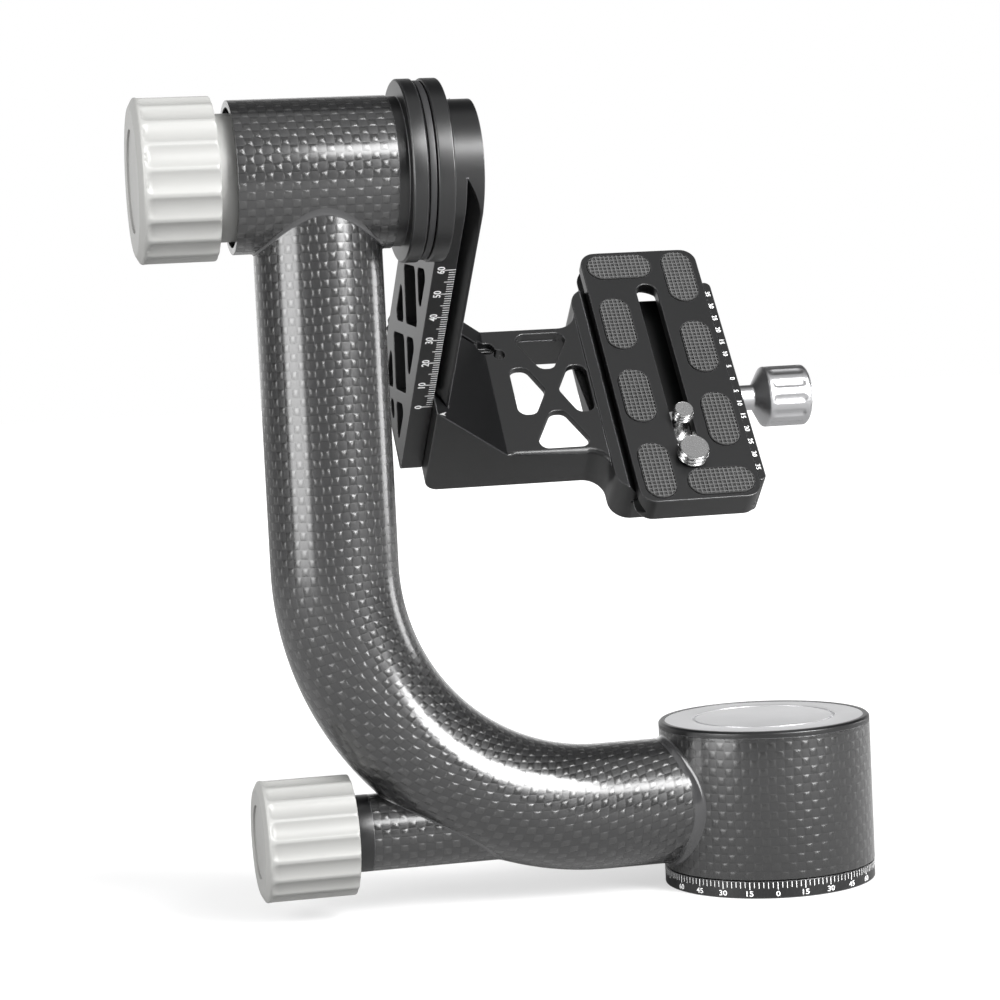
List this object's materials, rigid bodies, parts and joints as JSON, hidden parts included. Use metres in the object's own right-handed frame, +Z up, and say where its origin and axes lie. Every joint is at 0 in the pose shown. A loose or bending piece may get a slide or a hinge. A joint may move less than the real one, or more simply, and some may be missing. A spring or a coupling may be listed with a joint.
{
  "type": "gimbal tripod head",
  "caption": "Side-mount gimbal head: round pan base, bent carbon arm, tilting swing arm with a sliding cradle, clamp and quick-release plate.",
  "frame": {"origin": "centre of the base's underside, on the pan axis, at the mouth of the tripod thread", "axes": "+Z up along the pan axis; X along the tilt axis, from the lock knobs towards the cradle; the viewer stands at -Y"},
  "size_m": [0.2147, 0.1448, 0.2308],
  "materials": {
    "carbon": "gloss",
    "black_anodised": "satin",
    "silver_anodised": "satin",
    "bare_aluminium": "satin",
    "pale_knob": "satin",
    "steel": "satin",
    "black_steel": "satin",
    "polished_steel": "gloss",
    "pad_rubber": "matte",
    "brake_plastic": "matte"
  },
  "bodies": {
    "base": {"base_plate": "black_anodised", "base_screws": "steel", "pan_spindle": "steel", "spindle_nut": "steel", "pan_inner_races": "steel", "pan_bearing_balls": "steel"},
    "head": {"pan_housing": "bare_aluminium", "pan_outer_races": "steel", "base_sleeve": "carbon", "top_ring": "black_anodised", "top_cap": "silver_anodised", "carbon_arm": "carbon", "upper_tube": "carbon", "tilt_housing": "black_anodised", "tilt_outer_races": "steel", "pan_lock_tube": "carbon", "pan_lock_collar": "black_anodised", "pan_brake_pad": "brake_plastic"},
    "swing": {"swing_arm": "black_anodised", "tilt_spindle": "steel", "spindle_bolts": "black_steel", "friction_ring": "brake_plastic", "tilt_inner_races": "steel", "tilt_bearing_balls": "steel"},
    "tilt_lock": {"tilt_lock_knob": "pale_knob", "tilt_knob_cap": "pale_knob", "tilt_lock_stud": "steel", "tilt_thrust_washer": "brake_plastic"},
    "pan_lock": {"pan_lock_knob": "pale_knob", "pan_knob_cap": "pale_knob", "pan_lock_rod": "steel"},
    "cradle": {"cradle_bracket": "black_anodised"},
    "height_lock": {"height_lock_knob": "black_anodised", "height_lock_screw": "steel"},
    "jaw": {"clamp_jaw": "black_anodised", "jaw_pins": "steel"},
    "clamp_lock": {"clamp_knob": "polished_steel", "clamp_screw": "steel"},
    "plate": {"camera_plate": "black_anodised", "plate_pads": "pad_rubber"},
    "quarter_carrier": {"quarter_clip": "steel"},
    "quarter_bolt": {"quarter_screw": "steel"},
    "large_carrier": {"large_clip": "steel"},
    "large_bolt": {"large_screw": "steel"}
  },
  "joints": [
    {"name": "pan", "type": "hinge", "parent": "base", "child": "head", "pos_m": [0, 0, 0], "axis": [0, 0, 1], "continuous": true},
    {"name": "tilt", "type": "hinge", "parent": "head", "child": "swing", "pos_m": [0, 0, 0.20559], "axis": [1, 0, 0], "continuous": true},
    {"name": "tilt_lock_turn", "type": "hinge", "parent": "head", "child": "tilt_lock", "pos_m": [-0.16, 0, 0.20559], "axis": [1, 0, 0], "range_deg": [-540, 0]},
    {"name": "pan_lock_turn", "type": "hinge", "parent": "head", "child": "pan_lock", "pos_m": [-0.134, 0, 0.02298], "axis": [1, 0, 0], "range_deg": [-540, 0]},
    {"name": "height_slide", "type": "slide", "parent": "swing", "child": "cradle", "axis": [0, -0.7557, 0.6549], "range_m": [-0.0029, 0.0571]},
    {"name": "height_lock_turn", "type": "hinge", "parent": "cradle", "child": "height_lock", "pos_m": [-0.075, 0.099, 0.1595], "axis": [0, 0.6549, 0.7557], "range_deg": [0, 540]},
    {"name": "jaw_slide", "type": "slide", "parent": "cradle", "child": "jaw", "axis": [1, 0, 0], "range_m": [0, 0.004]},
    {"name": "clamp_knob_turn", "type": "hinge", "parent": "jaw", "child": "clamp_lock", "pos_m": [0.03, 0.08207, 0.13447], "axis": [1, 0, 0], "range_deg": [0, 2060]},
    {"name": "plate_slide", "type": "slide", "parent": "cradle", "child": "plate", "axis": [0, 0.6549, 0.7557], "range_m": [-0.03805, 0.03195]},
    {"name": "quarter_slide", "type": "slide", "parent": "plate", "child": "quarter_carrier", "axis": [0, 0.6549, 0.7557], "range_m": [0, 0.0513]},
    {"name": "quarter_turn", "type": "hinge", "parent": "quarter_carrier", "child": "quarter_bolt", "pos_m": [-0.0024, 0.06385, 0.12962], "axis": [0, -0.7557, 0.6549], "continuous": true},
    {"name": "large_slide", "type": "slide", "parent": "plate", "child": "large_carrier", "axis": [0, 0.6549, 0.7557], "range_m": [0, 0.0005]},
    {"name": "large_turn", "type": "hinge", "parent": "large_carrier", "child": "large_bolt", "pos_m": [-0.0024, 0.05415, 0.11844], "axis": [0, -0.7557, 0.6549], "continuous": true}
  ],
  "couplings": [
    {"joint": "clamp_knob_turn", "follows": "jaw_slide", "rad_per_m": 8976}
  ]
}
